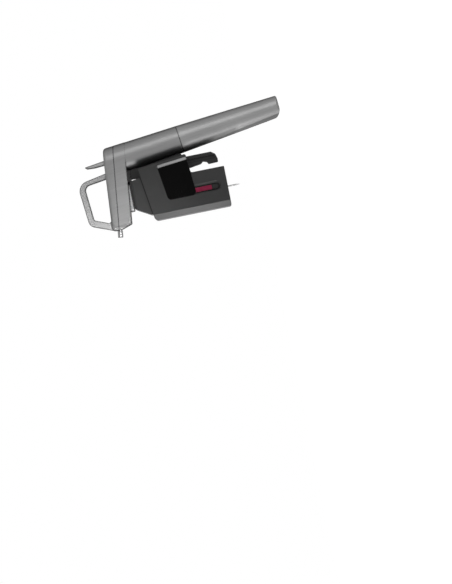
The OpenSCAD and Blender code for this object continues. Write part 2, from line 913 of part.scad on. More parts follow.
module rail() {
    color(dark)
        difference() {
            union() {
                rail_form(0);
                side(flange_w)
                    polygon(flange_side);
            }
            for (dir = [-1, 1]) {
                translate([groove_x - groove_w / 2, dir > 0 ? rail_w / 2 - groove_d : -rail_w / 2 - past,
                        guide_low - head_travel - 0.5])
                    cube([groove_w, groove_d + past, guide_top - guide_low + head_travel + 2]);
                rail_screw_place(dir)
                    screw_hole(9, 1);
            }
        }
}

module rail_screws() {
    color(steel)
        for (dir = [-1, 1])
            rail_screw_place(dir)
                screw(8);
}

module cap_screw_place(dir) {
    translate([-15, dir * 6, under_at(-15) + 3])
        children();
}

module valve_place() {
    translate([-valve_x, 0, 0])
        children();
}

module spout_bore_cut(extra) {
    on_spout()
        rotate([0, 90, 0])
            translate([0, 0, 3])
                cylinder(d = spout_root_d + 2 * extra, h = far);
}

// Way of the wine from over the needle into the spout
module wine_way() {
    on_spout()
        translate([-bore_d, 0, 0])
            rotate([0, 90, 0])
                cylinder(d = way_d, h = 10);
}

module head_body() {
    // slope of the gas way from the valve to the room over the needle's hub
    gas_rise = atan((hub_top + bore_d / 2 + 0.3 - port_z) / valve_x);
    color(gunmetal)
        difference() {
            union() {
                intersection() {
                    head_form();
                    side(head_w)
                        polygon(rounded(front_side));
                    seam_side(false);
                }
                // the handle, which ends inside the head
                handle_cone((under_z + joint_low) / cos(handle_lean));
            }
            // rail let into the handle's front
            rail_form(seat);
            side(flange_w + 2 * seat)
                polygon(flange_side);
            for (dir = [-1, 1]) {
                rail_screw_place(dir)
                    screw_hole(9, 1);
                cap_screw_place(dir)
                    screw_hole(14, 10);
            }
            // bore of the handle: threaded ring, then the regulator
            on_handle() {
                translate([0, 0, -past])
                    cylinder(r = ring_out + seat, h = spigot_len + 1 + past);
                cylinder(d = reg_d + 2 * seat, h = reg_w + reg_len + seat);
            }
            // valve pocket
            valve_place()
                translate([0, 0, valve_floor])
                    cylinder(d = valve_d + 2 * seat, h = far);
            // hub, wine way and spout
            cylinder(d = hub_d + 2 * seat, h = under_z + hub_len);
            cylinder(d = bore_d, h = seam_z - spout_drop);
            wine_way();
            spout_bore_cut(seat);
            // gas way up from the regulator, into the valve and on to the hub
            on_handle()
                cylinder(d = way_d, h = valve_floor + joint_low + way_d);
            translate([axis_x(valve_floor), 0, valve_floor + way_d])
                rotate([0, 90, 0])
                    cylinder(d = bore_d, h = -axis_x(valve_floor) - valve_x);
            translate([-valve_x, 0, port_z])
                rotate([0, 90 - gas_rise, 0])
                    cylinder(d = bore_d, h = valve_x / cos(gas_rise));
        }
}

module head_cap() {
    color(gunmetal)
        difference() {
            intersection() {
                head_form();
                seam_side(true);
            }
            // room over the valve, and the rear arm's slot
            translate([-valve_x - valve_d / 2 - 1, -valve_d / 2 - seat, 0])
                cube([valve_d + 2, valve_d + 2 * seat, foot_z + 1.5]);
            translate([-arm_back - 1.2, -trigger_w / 2 - free, 0])
                cube([bar_t + 2.2, trigger_w + 2 * free, far]);
            // notch for the front arm, and its pin
            translate([pivot_x - 6, -trigger_w / 2 - free, pivot_z - 2.9])
                cube([far, trigger_w + 2 * free, far]);
            translate([pivot_x, pin_half + seat, pivot_z])
                rotate([90, 0, 0])
                    cylinder(d = pivot_d + 2 * seat, h = far);
            spout_bore_cut(seat);
            wine_way();
            for (dir = [-1, 1])
                cap_screw_place(dir)
                    screw_hole(14, 10);
            thumb_rest_form(seat);
        }
}

module cap_screws() {
    color(steel)
        for (dir = [-1, 1])
            cap_screw_place(dir)
                screw(13.5);
}

module foot_plate() {
    color(steel)
        difference() {
            intersection() {
                side(plate_w)
                    polygon([
                        [-plate_back, plate_low],
                        [-plate_back, under_at(-plate_back) - seat],
                        [plate_front, under_at(plate_front) - seat],
                        [plate_front, plate_low + 0.8],
                        [plate_front - 0.8, plate_low]
                    ]);
                linear_extrude(far)
                    polygon(rounded([
                        [-plate_back, -plate_w / 2, 5],
                        [plate_front, -plate_w / 2, 5],
                        [plate_front, plate_w / 2, 5],
                        [-plate_back, plate_w / 2, 5]
                    ]));
            }
            cylinder(d = hub_d + 2 * seat, h = far);
        }
}

module thumb_rest_form(extra) {
    foot = top_at(-rest_x);
    side(rest_w + 2 * extra)
        polygon(rounded([
            [-rest_x - rest_t / 2 - extra, foot - 5, 0],
            [-rest_x - rest_t / 2 - extra, foot, 0],
            [-rest_x + rest_t / 2 - 1.6, foot + rest_h, 0.5],
            [-rest_x + rest_t / 2 + 0.4, foot + rest_h - 2.4, 0.5],
            [-rest_x + rest_t / 2 + 0.8, foot + rest_h / 2, 4],
            [-rest_x + rest_t / 2 + extra, foot, 0],
            [-rest_x + rest_t / 2 + extra, foot - 5 - extra, 0]
        ]));
}

module thumb_rest() {
    color(steel)
        thumb_rest_form(0);
}

// ---- needle and spout ----

hub_top = under_z + hub_len;
module needle_hub() {
    color(brass)
        difference() {
            translate([0, 0, plate_low])
                cylinder(d = hub_d, h = hub_top - plate_low - seat);
            cylinder(d = needle_d + 2 * seat, h = far);
            translate([0, 0, hub_top - 2])
                cylinder(d = way_d, h = far);
            translate([0, 0, hub_top - ring_wire])
                difference() {
                    cylinder(d = hub_d + past, h = ring_wire + past);
                    cylinder(d = hub_d - 2 * ring_wire, h = far, center = true);
                }
        }
}

module needle_seal() {
    color(rubber)
        translate([0, 0, hub_top - ring_wire / 2 - seat])
            seal_ring(hub_d / 2 - ring_wire + seat, ring_wire - 2 * seat);
}

module needle() {
    color(steel)
        difference() {
            union() {
                translate([0, 0, -needle_low])
                    cylinder(d1 = 0.1, d2 = needle_d, h = point_len);
                translate([0, 0, point_len - needle_low])
                    cylinder(d = needle_d, h = needle_low - point_len + hub_top - 2 - seat);
            }
            translate([0, 0, point_len + 2 - needle_low])
                cylinder(d = needle_bore, h = far);
            // inlet slots in the needle's side
            for (i = [0:2])
                translate([0, 0, point_len + 4 + 3 * i - needle_low])
                    across(0.3, far);
        }
}

module spout_tube() {
    color(steel)
        on_spout()
            rotate([0, 90, 0])
                difference() {
                    union() {
                        translate([0, 0, 5])
                            cylinder(d = spout_root_d, h = head_front + spout_lip + 1 - 5);
                        translate([0, 0, head_front + spout_lip])
                            cylinder(d = spout_d, h = spout_out - spout_lip);
                    }
                    cylinder(d = spout_bore, h = far);
                    translate([0, 0, head_front + spout_out - 0.8])
                        cylinder(d1 = spout_bore, d2 = spout_bore + 1.2, h = 0.81);
                }
}

module spout_seal() {
    color(rubber)
        on_spout()
            rotate([0, 90, 0])
                translate([0, 0, 4])
                    seal_ring(spout_root_d / 2 - ring_wire - seat, ring_wire);
}

// ---- trigger ----

pin_half = 8.6;
module trigger_pin() {
    color(steel)
        translate([pivot_x, pin_half, pivot_z])
            rotate([90, 0, 0])
                cylinder(d = pivot_d, h = 2 * pin_half + 1.8);
}

module trigger_loop() {
    lean = (arm_back - loop_rear_x) / (loop_rear_z - top_at(-arm_back));
    color(steel)
        difference() {
            side(trigger_w)
                polygon(rounded([
                    [-arm_back - (top_at(-arm_back) - foot_z) * lean, foot_z, 0.6],
                    [-loop_rear_x, loop_rear_z, 11.5],
                    [loop_front_x, loop_front_z, 8],
                    [pivot_x + 5.9, pivot_z - 1, 1.2],
                    [pivot_x + 5.6, pivot_z - 2.2, 0.6],
                    [pivot_x - 5.2, pivot_z - 2.4, 0.6],
                    [pivot_x - 5.6, pivot_z + 1.8, 1.6],
                    [pivot_x - 3.8, pivot_z + 4.2, 1.6],
                    [loop_front_x - bar_t + 0.6, loop_front_z - bar_t + 0.4, 3],
                    [-loop_rear_x + bar_t / 2 + 0.2, loop_rear_z - bar_t - 0.7, 6],
                    [-arm_back + bar_t - (top_at(-arm_back) - foot_z) * lean, foot_z, 0.6]
                ]));
            translate([pivot_x, 0, pivot_z])
                across(pivot_d / 2 + fit, far);
        }
}

// ---- valve ----

step_z = sleeve_top - 5.2;
port_z = step_z + 1;
disc_z = step_z - 0.9 - seat - disc_t;
module valve_sleeve() {
    color(brass)
        valve_place()
            difference() {
                translate([0, 0, valve_floor])
                    cylinder(d = valve_d, h = sleeve_top - valve_floor);
                cylinder(d = valve_bore, h = step_z);
                cylinder(d = rod_d + 2 * fit, h = far);
                // inlet under the disc, outlet over its seat
                translate([0, 0, valve_floor + way_d])
                    rotate([0, -90, 0])
                        cylinder(d = way_d - 0.4, h = far);
                cylinder(d = rod_d + 1.4, h = port_z + 1);
                translate([0, 0, port_z])
                    rotate([0, 90, 0])
                        cylinder(d = way_d - 0.6, h = far);
            }
}

module valve_stem() {
    color(steel)
        valve_place() {
            translate([0, 0, disc_z])
                cylinder(d = valve_bore - 2 * fit, h = disc_t);
            translate([0, 0, disc_z + disc_t])
                cylinder(d = rod_d, h = foot_z - 0.3 - disc_z - disc_t);
        }
}

module valve_seal() {
    color(rubber)
        valve_place()
            translate([0, 0, disc_z + disc_t])
                difference() {
                    cylinder(d = valve_bore - 0.6, h = 0.9);
                    translate([0, 0, -past])
                        cylinder(d = rod_d + 2 * seat, h = 3);
                }
}

module valve_spring() {
    color(steel)
        valve_place()
            translate([0, 0, valve_floor + seat])
                coil(valve_bore / 2 - valve_wire / 2 - 0.2, valve_wire, disc_z - valve_floor - 2 * seat, 3);
}

// ---- regulator and gas capsule, in the handle's frame ----

piston_z = reg_w + 12;
module regulator_body() {
    color(brass)
        on_handle()
            difference() {
                translate([0, 0, reg_w])
                    cylinder(d = reg_d, h = reg_len);
                // seat of the piercing pin, gas way and piston's cylinder
                cylinder(d = 9, h = reg_w + 3);
                cylinder(d = way_d, h = far);
                translate([0, 0, piston_z - 3])
                    cylinder(d = piston_d + 2 * fit, h = far);
                // waist
                translate([0, 0, reg_w + 16])
                    difference() {
                        cylinder(d = reg_d + past, h = 6);
                        cylinder(d = reg_d - 3, h = 20, center = true);
                    }
            }
}

plug_t = 5;
module regulator_plug() {
    color(brass)
        on_handle()
            translate([0, 0, reg_w + reg_len - plug_t])
                difference() {
                    cylinder(d = piston_d, h = plug_t);
                    translate([0, 0, plug_t - 2.5])
                        cylinder(r = 3, h = 5, $fn = 6);
                }
}

module regulator_piston() {
    color(steel)
        on_handle()
            translate([0, 0, piston_z - 2.6]) {
                difference() {
                    cylinder(d = piston_d, h = piston_len);
                    translate([0, 0, 2])
                        difference() {
                            cylinder(d = piston_d + past, h = 2 * 0.9);
                            cylinder(d = piston_d - 2.4, h = 20, center = true);
                        }
                }
                cylinder(d = 5, h = piston_len + 4);
            }
}

module piston_seal() {
    color(rubber)
        on_handle()
            translate([0, 0, piston_z - 2.6 + 2.9])
                seal_ring(piston_d / 2 - 1.2 + seat, 1.2 - 2 * seat);
}

module regulator_spring() {
    low = piston_z - 2.6 + piston_len + seat;
    high = reg_w + reg_len - plug_t - piston_travel - 0.1;
    color(steel)
        on_handle()
            translate([0, 0, low])
                coil(piston_d / 2 - reg_wire / 2 - 0.5, reg_wire, high - low, 5);
}

module pierce_pin() {
    color(steel)
        on_handle()
            difference() {
                union() {
                    translate([0, 0, reg_w + 1])
                        cylinder(d = 9 - 2 * seat, h = 2 - seat);
                    translate([0, 0, capsule_top - 2])
                        cylinder(d = pierce_d, h = reg_w + 1 - capsule_top + 2);
                    translate([0, 0, capsule_top - 4])
                        cylinder(d1 = 0.6, d2 = pierce_d, h = 2);
                }
                translate([0, 0, capsule_top - 1])
                    cylinder(d = 1, h = far);
            }
}

module pierce_gasket() {
    color(rubber)
        on_handle()
            difference() {
                translate([0, 0, capsule_top + 0.05])
                    cylinder(d = 9 - 2 * seat, h = reg_w + 1 - capsule_top - 0.05 - seat);
                translate([0, 0, -past])
                    cylinder(d = pierce_d + 2 * seat, h = far);
            }
}

module thread_ring() {
    color(steel)
        on_handle()
            difference() {
                cylinder(r = ring_out, h = spigot_len + 1);
                translate([0, 0, -past])
                    cylinder(r = ring_r, h = far);
            }
}

module gas_capsule() {
    r = capsule_d / 2;
    color(steel)
        on_handle()
            difference() {
                union() {
                    translate([0, 0, capsule_low + r])
                        cylinder(r = r, h = capsule_len - 2 * r);
                    translate([0, 0, capsule_low + r])
                        sphere(r = r);
                    translate([0, 0, capsule_low + capsule_len - r])
                        sphere(r = r);
                    translate([0, 0, capsule_low + capsule_len - 2])
                        cylinder(d = capsule_neck_d, h = capsule_neck_len + 2);
                }
                // pierced mouth
                translate([0, 0, capsule_top - 4.6])
                    cylinder(d = pierce_d + 0.8, h = far);
            }
}

// Side view of the cup in the handle's frame
cup_side = [
    [-handle_d, spigot_len + 5, 0],
    [handle_d, spigot_len + 5, 0],
    [handle_d / 2 + 2, -cup_len / 3, 0],
    [cup_end_d / 2 + 0.3, -cup_len, cup_round],
    [-cup_end_d / 2 - 0.2, -cup_len - 1.2, cup_rear_round],
    [-handle_d, -cup_len / 3, 0]
];

module handle_cup() {
    color(gunmetal)
        on_handle()
            difference() {
                intersection() {
                    translate([0, 0, -cup_len - 2])
                        cylinder(
                            r1 = cup_end_d / 2 - 2 * cup_slope,
                            r2 = handle_d / 2 - cup_slope * seat,
                            h = cup_len + 2 - seat
                        );
                    side(far)
                        polygon(rounded(cup_side));
                    // rounded end seen from the front
                    rotate([0, 0, 90])
                        side(far)
                            polygon(rounded([
                                [-handle_d, spigot_len + 5, 0],
                                [handle_d, spigot_len + 5, 0],
                                [cup_end_d / 2 + 0.4, -cup_len - 1, 6],
                                [-cup_end_d / 2 - 0.4, -cup_len - 1, 6]
                            ]));
                }
                // seat of the threaded spigot
                translate([0, 0, -spigot_root])
                    cylinder(r = spigot_r + seat, h = far);
                // capsule's room, with its round bottom
                translate([0, 0, capsule_low + capsule_d / 2])
                    cylinder(r = spigot_bore, h = far);
                translate([0, 0, capsule_low + capsule_d / 2])
                    sphere(r = spigot_bore);
                // flats along the lower edge, towards the bottle
                for (dir = [-1, 1])
                    rotate([0, 0, dir * 22])
                        translate([cup_end_d / 2 - flat_d, -far / 2, -cup_len - 2])
                            rotate([0, flat_lean, 0])
                                cube([far, far, cup_len]);
            }
}

// Threaded spigot let into the cup, with the groove of its sealing ring
module cup_spigot() {
    color(steel)
        on_handle()
            difference() {
                translate([0, 0, seat - spigot_root])
                    cylinder(r = spigot_r, h = spigot_root + spigot_len - seat);
                cylinder(r = spigot_bore, h = far, center = true);
                translate([0, 0, 0.2])
                    difference() {
                        cylinder(r = spigot_r + past, h = 1.2);
                        cylinder(r = spigot_r - 0.5, h = 5, center = true);
                    }
            }
}

module cup_seal() {
    color(rubber)
        on_handle()
            translate([0, 0, 0.8])
                seal_ring(spigot_r - 0.48, 0.62);
}

base_shell();
base_collar();
collar_screws();
label(1);  // label_left
label(-1);  // label_right
trim(1);  // trim_left
trim(-1);  // trim_right
rail_guides();
needle_guide();
rim_bumper();
jaw_pins();
jaw(1);  // jaw_left
jaw_inlay(1);  // jaw_inlay_left
jaw_pad(1);  // jaw_pad_left
jaw_spring(1);  // jaw_spring_left
jaw(-1);  // jaw_right
jaw_inlay(-1);  // jaw_inlay_right
jaw_pad(-1);  // jaw_pad_right
jaw_spring(-1);  // jaw_spring_right
head_body();
head_cap();
cap_screws();
foot_plate();
thumb_rest();
rail();
rail_screws();
needle_hub();
needle();
needle_seal();
spout_tube();
spout_seal();
trigger_pin();
trigger_loop();
valve_sleeve();
valve_stem();
valve_seal();
valve_spring();
regulator_body();
regulator_plug();
regulator_piston();
piston_seal();
regulator_spring();
pierce_pin();
pierce_gasket();
thread_ring();
gas_capsule();
handle_cup();
cup_spigot();
cup_seal();
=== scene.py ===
import math

import bpy
from mathutils import Matrix, Vector

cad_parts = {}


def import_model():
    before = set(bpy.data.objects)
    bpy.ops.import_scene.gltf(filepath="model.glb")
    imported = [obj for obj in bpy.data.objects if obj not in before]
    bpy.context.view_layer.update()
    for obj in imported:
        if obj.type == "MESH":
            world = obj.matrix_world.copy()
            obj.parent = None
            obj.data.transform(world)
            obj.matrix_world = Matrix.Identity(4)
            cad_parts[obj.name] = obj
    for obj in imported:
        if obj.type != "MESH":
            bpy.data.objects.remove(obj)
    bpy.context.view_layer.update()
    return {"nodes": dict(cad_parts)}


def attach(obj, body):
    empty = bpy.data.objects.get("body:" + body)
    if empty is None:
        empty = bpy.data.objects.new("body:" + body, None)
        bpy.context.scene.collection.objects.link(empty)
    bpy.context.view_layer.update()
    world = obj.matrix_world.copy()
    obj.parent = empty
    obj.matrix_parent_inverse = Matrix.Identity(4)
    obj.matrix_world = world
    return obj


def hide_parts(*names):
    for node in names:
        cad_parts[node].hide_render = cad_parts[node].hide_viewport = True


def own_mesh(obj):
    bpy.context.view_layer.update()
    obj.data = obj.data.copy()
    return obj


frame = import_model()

NODES = frame["nodes"]

# The handle leans in the XZ plane; its axis passes through this point, where the cup's seam is.
LEAN = math.radians(7.3)
HANDLE = Vector((-0.0599, 0.0, -0.0007))
# The seam between the head's body and its cap, over the needle, and its rise
SEAM = Vector((0.0, 0.0, 0.0794))
SEAM_RISE = math.radians(7.0)
# The line where the collar meets the clamp base, over the needle, and its fall
FOOT = Vector((0.0, 0.0, 0.0449))
FOOT_FALL = math.radians(8.0)
# Half the widths of the painted shadow lines along these joins
SEAM_HALF = 0.00022
FOOT_HALF = 0.0007


# ---- shader building ----

BEVEL_SAMPLES = 8
# The cosines between the rounded and the flat normal where the painted edge shade is darkest, and
# where it ends
EDGE_SHADE_CORE, EDGE_SHADE_END = 0.88, 0.993
# Where a line ends its full strength, and where it has gone, as shares of half its width
LINE_CORE, LINE_END = 0.7, 1.5


class NodeTree:
    """Adds nodes to one node tree, and links or sets their inputs."""

    def __init__(self, tree):
        self.tree = tree

    def put(self, socket, value):
        if isinstance(value, bpy.types.NodeSocket):
            self.tree.links.new(value, socket)
        else:
            socket.default_value = value

    def node(self, kind, inputs=(), **settings):
        made = self.tree.nodes.new(kind)
        for key, value in settings.items():
            setattr(made, key, value)
        for key, value in dict(inputs).items():
            self.put(made.inputs[key], value)
        return made

    def math(self, operation, *values):
        made = self.node("ShaderNodeMath", dict(enumerate(values)), operation=operation)
        return made.outputs[0]

    def vectors(self, operation, a, b, output="Vector"):
        made = self.node("ShaderNodeVectorMath", {0: a, 1: b}, operation=operation)
        return made.outputs[output]

    def share(self, a, b, part):
        """part of a, and the rest of b."""
        return self.math(
            "ADD", self.math("MULTIPLY", a, part), self.math("MULTIPLY", b, 1 - part)
        )

    def span(self, value, low, high, start=0.3, end=0.7):
        """value between start and end carried over to low and high."""
        ends = {"From Min": start, "From Max": end, "To Min": low, "To Max": high}
        return self.node("ShaderNodeMapRange", {"Value": value, **ends}).outputs[0]

    def seen(self):
        """1 on the rays of the camera, of reflections and of clear solids, else 0."""
        rays = self.node("ShaderNodeLightPath").outputs
        seen = self.math("MAXIMUM", rays["Is Camera Ray"], rays["Is Glossy Ray"])
        return self.math("MAXIMUM", seen, rays["Is Transmission Ray"])


class Shader(NodeTree):
    """A node material round one Principled shader."""

    def __init__(self, name, **sockets):
        self.material = bpy.data.materials.new(name)
        self.material.use_nodes = True
        super().__init__(self.material.node_tree)
        self.shader = self.tree.nodes["Principled BSDF"]
        for key, value in sockets.items():
            self.set(key.replace("_", " "), value)

    def set(self, name, value):
        self.put(self.shader.inputs[name], value)

    def where(self):
        """The place on the object, in metres."""
        return self.node("ShaderNodeTexCoord").outputs["Object"]

    def noise(self, scale, detail, rough=0.55, lean=0.0):
        """Noise of scale cells a metre, or of three such counts along axes leaning about Y."""
        if not isinstance(scale, tuple):
            scale = (scale,) * 3
        turned = self.node(
            "ShaderNodeVectorRotate",
            {"Vector": self.where(), "Angle": -lean},
            rotation_type="Y_AXIS",
        )
        place = self.vectors("MULTIPLY", turned.outputs[0], scale)
        inputs = {"Vector": place, "Scale": 1.0, "Detail": detail, "Roughness": rough}
        return self.node("ShaderNodeTexNoise", inputs).outputs["Fac"]

    def blend(self, factor, a, b):
        """Colour a where factor is 0, and b where it is 1."""
        mix = self.node("ShaderNodeMix", data_type="RGBA")
        for socket, value in ((0, factor), (6, a), (7, b)):
            self.put(mix.inputs[socket], value)
        return mix.outputs[2]

    def bump(self, *layers):
        """Stacks bumps, each (height, depth in metres, strength)."""
        normal = None
        for height, depth, strength in layers:
            inputs = {"Height": height, "Distance": depth, "Strength": strength}
            made = self.node("ShaderNodeBump", inputs)
            if normal is not None:
                self.put(made.inputs["Normal"], normal)
            normal = made.outputs[0]
        self.set("Normal", normal)

    def line(self, point, normal, half):
        """1 on the plane through point, falling to 0 past half a width in metres."""
        away = self.vectors("SUBTRACT", self.where(), point)
        far = self.math("ABSOLUTE", self.vectors("DOT_PRODUCT", away, normal, "Value"))
        return self.span(far, 1.0, 0.0, half * LINE_CORE, half * LINE_END)

    def edges(self, radius):
        """Painted edge shade mask: 1 along the shape's sharp edges, falling to 0 within radius."""
        soft = self.node("ShaderNodeBevel", {"Radius": radius}, samples=BEVEL_SAMPLES).outputs[0]
        flat = self.node("ShaderNodeNewGeometry").outputs["Normal"]
        near = self.vectors("DOT_PRODUCT", soft, flat, "Value")
        return self.span(near, 1.0, 0.0, EDGE_SHADE_CORE, EDGE_SHADE_END)


def grey(value, tint=(1.0, 1.0, 1.0)):
    """An sRGB grey level, 0 to 255, as a linear colour."""
    c = value / 255
    c = c / 12.92 if c <= 0.04045 else ((c + 0.055) / 1.055) ** 2.4
    return (c * tint[0], c * tint[1], c * tint[2], 1.0)


def srgb(r, g, b):
    """An sRGB colour, 0 to 255, as a linear one."""
    return tuple(grey(v)[0] for v in (r, g, b)) + (1.0,)


# ---- finishes ----

# Cells a metre of the scratches across and along the brushing, of polished and of drawn metal,
# and of the slow cloud on all three
BRUSHED, POLISHED, DRAWN, CLOUD = (4200, 4200, 60), (3000,) * 3, (2500,) * 3, 28
# The streaks' count against that of the scratches, and their share of the tone
STREAK_SCALE, STREAK_SHARE = 0.16, 0.55
# The depths in metres and strengths of their bumps
STREAK_BUMP, SCRATCH_BUMP = (0.00003, 0.35), (0.00001, 0.3)
# The noise values over which metal's tone changes, and every finish's roughness but the glossy
TONE_WINDOW, ROUGH_WINDOW = (0.36, 0.64), (0.35, 0.65)
# The grey of the painted shadow line in the gap at the head's and the cup's seams
SEAM_SHADOW_GREY = 36

# Cells a metre of the grains of plastic and rubber, and of their cloud
SPARK_GRAIN, RUBBER_GRAIN, PLASTIC_CLOUD = 2600, 1500, 45
GRAIN_STRENGTH = 0.5
# Reach and grey of the painted shade on plastic edges, and grey of the collar foot's painted
# shadow
EDGE_SHADE_REACH, EDGE_SHADE_GREY, FOOT_SHADOW_GREY = 0.0013, 18, 8
GLOSSY_DEPTH = 0.00001


def brushed(
    name, dark, light, rough=(0.36, 0.46), lean=0.0, fine=BRUSHED, tint=(1, 1, 1), rim=0.5,
    seam=None, edge=None, reach=0.0016,
):
    """Metal brushed along Z, with fine scratches, broader streaks and a slow cloud.

    dark and light are grey levels, rough holds two roughnesses, rim is the tint of reflections
    at a grazing angle, seam is a painted shadow line in the gap at a join, and edge is the grey
    level of the painted shade on the edges within reach.
    """
    s = Shader(name, Metallic=1.0, Specular_Tint=(rim, rim, rim, 1))
    scratches = s.noise(fine, detail=4.0, rough=0.65, lean=lean)
    streaks = s.noise(tuple(v * STREAK_SCALE for v in fine), detail=2.0, lean=lean)
    cloud = s.noise(CLOUD, detail=2.0)
    mixed = s.span(s.share(streaks, cloud, STREAK_SHARE), 0.0, 1.0, *TONE_WINDOW)
    tone = s.blend(mixed, grey(dark, tint), grey(light, tint))
    # A painted shadow line darkens the tone in the gap at a seam.
    if seam is not None:
        tone = s.blend(s.line(*seam), tone, grey(SEAM_SHADOW_GREY))
    # Painted shade: the tone darkens to the edge grey along the sharp edges, within reach.
    if edge is not None:
        tone = s.blend(s.edges(reach), tone, grey(edge, tint))
    s.set("Base Color", tone)
    s.set("Roughness", s.span(scratches, *rough, *ROUGH_WINDOW))
    s.bump((streaks, *STREAK_BUMP), (scratches, *SCRATCH_BUMP))
    return s


def moulded(name, dark, light, rough=(0.42, 0.54), grain=SPARK_GRAIN, depth=0.00002, seam=None):
    """Moulded plastic with fine spark-eroded grain, painted edge shade and any painted seam
    shadow.
    """
    s = Shader(name, Specular_IOR_Level=0.3)
    eroded = s.noise(grain, detail=3.0, rough=0.6)
    cloud = s.noise(PLASTIC_CLOUD, detail=3.0)
    tone = s.blend(s.span(cloud, 0.0, 1.0), grey(dark), grey(light))
    # A painted shadow line darkens the tone in the gap where the collar meets the base.
    if seam is not None:
        tone = s.blend(s.line(*seam), tone, grey(FOOT_SHADOW_GREY))
    # Painted shade: the tone darkens along the sharp edges.
    s.set("Base Color", s.blend(s.edges(EDGE_SHADE_REACH), tone, grey(EDGE_SHADE_GREY)))
    s.set("Roughness", s.span(s.share(eroded, cloud, 0.5), *rough, *ROUGH_WINDOW))
    s.bump((eroded, depth, GRAIN_STRENGTH))
    return s


def glossy(name, level, tones, tone_scale, detail, rough, bump_scale, strength):
    """Smooth plastic with a soft change of tone and roughness, and a shallow bump."""
    s = Shader(name, Specular_IOR_Level=level)
    cloud = s.noise(tone_scale, detail)
    surface = s.noise(bump_scale, detail=2.0)
    s.set("Base Color", s.blend(s.span(cloud, 0.0, 1.0), *tones))
    s.set("Roughness", s.span(cloud, *rough))
    s.bump((surface, GLOSSY_DEPTH, strength))
    return s


# Planes and half widths of the painted shadow lines at the seams and at the collar's foot
head_seam_shadow = (SEAM, (-math.sin(SEAM_RISE), 0.0, math.cos(SEAM_RISE)), SEAM_HALF)
cup_seam_shadow = (HANDLE, (math.sin(LEAN), 0.0, math.cos(LEAN)), SEAM_HALF)
collar_foot_shadow = (FOOT, (math.sin(FOOT_FALL), 0.0, math.cos(FOOT_FALL)), FOOT_HALF)

# edge below is the grey of the painted shade along the sharp edges.
gunmetal = {"rough": (0.36, 0.44), "lean": LEAN, "rim": 0.0, "edge": 66}
head_metal = brushed("head_gunmetal", 126, 132, seam=head_seam_shadow, **gunmetal)
handle_metal = brushed("handle_gunmetal", 132, 138, seam=cup_seam_shadow, **gunmetal)
bright_metal = brushed("trigger_steel", 142, 158, (0.32, 0.42), rim=0.05, edge=50, reach=0.0024)
polished = brushed("polished_steel", 168, 188, (0.18, 0.28), fine=POLISHED, rim=0.15)
strip_metal = brushed("strip_steel", 132, 150, (0.32, 0.42), lean=math.radians(-6), edge=50)
spring_metal = brushed("spring_wire", 150, 176, (0.25, 0.36), fine=DRAWN)
brass = brushed("machined_brass", 170, 188, (0.24, 0.36), tint=(1.0, 0.80, 0.45))
dark_plastic = moulded("dark_plastic", 56, 62)
collar_plastic = moulded("collar_plastic", 58, 64, seam=collar_foot_shadow)
# The jaws are dark plastic made darker still: partly painted shade, for the dark inside the base's
# slot where they show.
jaw_plastic = moulded("jaw_plastic", 22, 28)
rail_plastic = moulded("rail_plastic", 42, 48)
glide = moulded("glide_plastic", 38, 46, rough=(0.35, 0.45))
rubber = moulded("black_rubber", 26, 34, rough=(0.62, 0.78), grain=RUBBER_GRAIN, depth=0.00004)
label_gloss = glossy(
    "gloss_black_panel", level=0.05, tones=(grey(1), grey(5)), tone_scale=60, detail=4.0,
    rough=(0.14, 0.24), bump_scale=420, strength=0.25,
)
maroon = glossy(
    "maroon_plastic", level=0.2, tones=(srgb(160, 38, 76), srgb(176, 46, 88)), tone_scale=160,
    detail=3.0, rough=(0.30, 0.42), bump_scale=2600, strength=0.4,
)


# ---- dressing of the CAD nodes ----

WELD_REACH = 2e-6
# Edges that turn by more than this are rounded.
SHARP = math.radians(32)
BEVEL_STEPS = 2
NORMAL_WEIGHT = 60


def dress(names, finish, soft=0.0, crease=None):
    """Gives nodes a finish, rounds their sharp edges by soft, and splits creases over an angle."""
    for name in names.split():
        o = NODES[name]
        o.data.materials.clear()
        o.data.materials.append(finish.material)
        custom = o.data.attributes.get("custom_normal")
        if custom is not None:
            o.data.attributes.remove(custom)
        o.data.shade_smooth()
        o.modifiers.new("weld", "WELD").merge_threshold = WELD_REACH
        if soft:
            edge = o.modifiers.new("edges", "BEVEL")
            edge.width = soft
            edge.segments = BEVEL_STEPS
            edge.limit_method = "ANGLE"
            edge.angle_limit = SHARP
            edge.miter_outer = "MITER_ARC"
        if crease is not None:
            o.modifiers.new("creases", "EDGE_SPLIT").split_angle = math.radians(crease)
        o.modifiers.new("normals", "WEIGHTED_NORMAL").weight = NORMAL_WEIGHT


dress("base_shell", dark_plastic, 0.0004)
dress("base_collar", collar_plastic, 0.0003)
dress("jaw_left jaw_right", jaw_plastic, 0.0003)
dress("rail", rail_plastic, 0.0004)
dress("head_body head_cap", head_metal, 0.0002)
dress("handle_cup", handle_metal, crease=12)
dress("foot_plate thumb_rest", bright_metal, 0.0003)
dress("spout_tube", strip_metal)
dress("trigger_loop", bright_metal, 0.0006)
dress("needle trigger_pin jaw_pins pierce_pin valve_stem gas_capsule", polished)
dress("regulator_piston thread_ring cup_spigot collar_screws cap_screws rail_screws", polished)
dress("needle_hub valve_sleeve regulator_body regulator_plug", brass, 0.0001)
dress("trim_left trim_right", strip_metal, 0.00015)
dress("label_left label_right", label_gloss, 0.0002)
dress("jaw_inlay_left jaw_inlay_right", maroon, 0.0003)
dress("rim_bumper jaw_pad_left jaw_pad_right", rubber, 0.0002)
dress("needle_seal spout_seal valve_seal piston_seal pierce_gasket cup_seal", rubber)
dress("rail_guides needle_guide", glide, 0.0001)
dress("jaw_spring_left jaw_spring_right regulator_spring", spring_metal)


# ---- the valve's spring, a fixed coil on the head; the real one shortens as the trigger is pressed ----

COIL_AXIS = (-0.036, 0.0)
COIL_LOW, COIL_HIGH = 0.06458, 0.06938
COIL_RADIUS, WIRE_RADIUS = 0.0032, 0.0003
COIL_TURNS, STEPS, SIDES = 3, 36, 10
UPWARD = Vector((0, 0, 1))


def link(o):
    bpy.context.scene.collection.objects.link(o)
    return o


